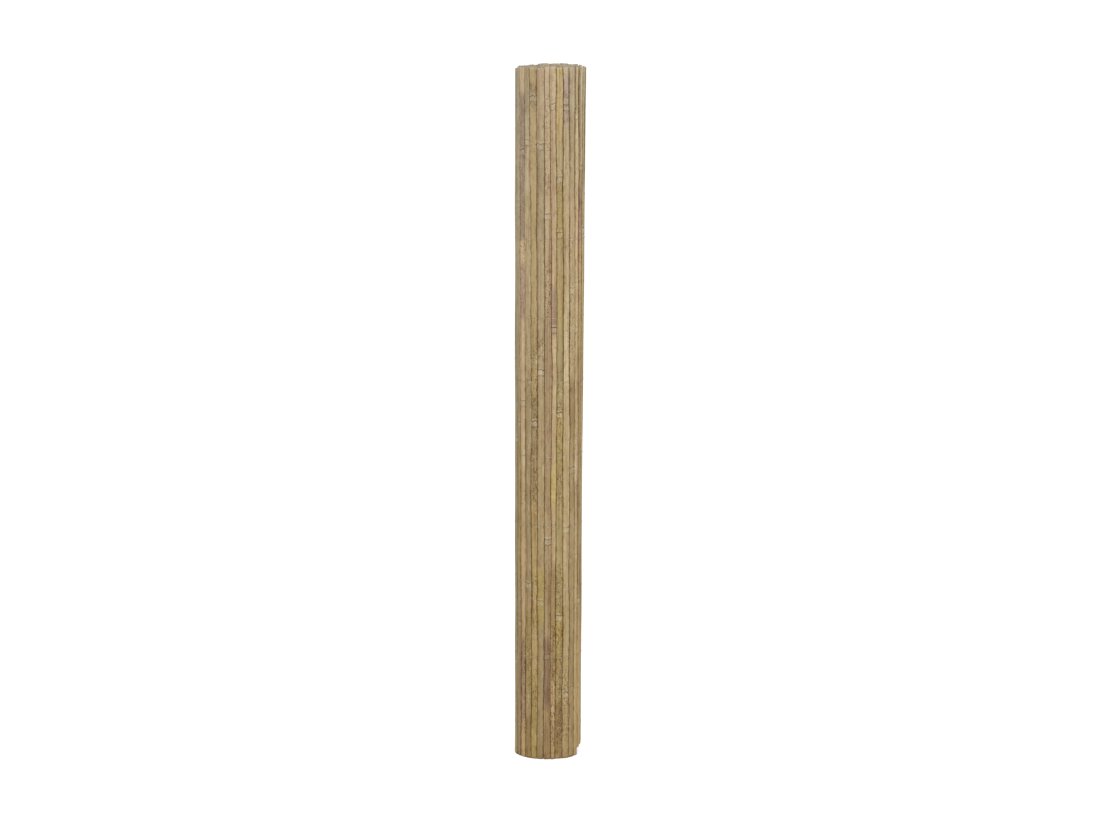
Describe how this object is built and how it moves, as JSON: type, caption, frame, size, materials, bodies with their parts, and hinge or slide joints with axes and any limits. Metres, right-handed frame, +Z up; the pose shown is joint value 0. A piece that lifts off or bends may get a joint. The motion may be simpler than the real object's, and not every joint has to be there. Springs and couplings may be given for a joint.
{
  "type": "rolled bamboo slat screen",
  "caption": "Rolled screen of split bamboo slats bound side by side with rows of thin doubled wire, standing upright on its end.",
  "frame": {"origin": "centre of the roll's bounding box on the ground", "axes": "+Z up along the slats, -Y towards the front that the picture shows, +X to the right, where the mat's free end lies"},
  "size_m": [0.1552, 0.1428, 1.5],
  "materials": {
    "split_bamboo": "dried bamboo bark, satin to dull",
    "split_bamboo_inner": "dried bamboo, raw and dull",
    "galvanised_wire": "dull galvanised"
  },
  "bodies": {
    "root": {"inner_turn_02": "split_bamboo_inner", "inner_turn_03": "split_bamboo_inner", "inner_turn_04": "split_bamboo_inner", "inner_turn_05": "split_bamboo_inner", "inner_turn_06": "split_bamboo_inner", "inner_turn_07": "split_bamboo_inner", "inner_turn_08": "split_bamboo_inner", "inner_turn_09": "split_bamboo_inner", "inner_turn_10": "split_bamboo_inner", "inner_turn_11": "split_bamboo_inner", "slat_01": "split_bamboo", "slat_02": "split_bamboo", "slat_03": "split_bamboo", "slat_04": "split_bamboo", "slat_05": "split_bamboo", "slat_06": "split_bamboo", "slat_07": "split_bamboo", "slat_08": "split_bamboo", "slat_09": "split_bamboo", "slat_10": "split_bamboo", "slat_11": "split_bamboo", "slat_12": "split_bamboo", "slat_13": "split_bamboo", "slat_14": "split_bamboo", "slat_15": "split_bamboo", "slat_16": "split_bamboo", "slat_17": "split_bamboo", "slat_18": "split_bamboo", "slat_19": "split_bamboo", "slat_20": "split_bamboo", "slat_21": "split_bamboo", "slat_22": "split_bamboo", "slat_23": "split_bamboo", "slat_24": "split_bamboo", "slat_25": "split_bamboo", "slat_26": "split_bamboo", "slat_27": "split_bamboo", "slat_28": "split_bamboo", "slat_29": "split_bamboo", "slat_30": "split_bamboo", "wire_row_01": "galvanised_wire", "wire_row_02": "galvanised_wire", "wire_row_03": "galvanised_wire", "wire_row_04": "galvanised_wire", "wire_row_05": "galvanised_wire", "wire_row_06": "galvanised_wire", "wire_row_07": "galvanised_wire", "wire_row_08": "galvanised_wire", "wire_row_09": "galvanised_wire", "wire_row_10": "galvanised_wire"}
  },
  "joints": []
}
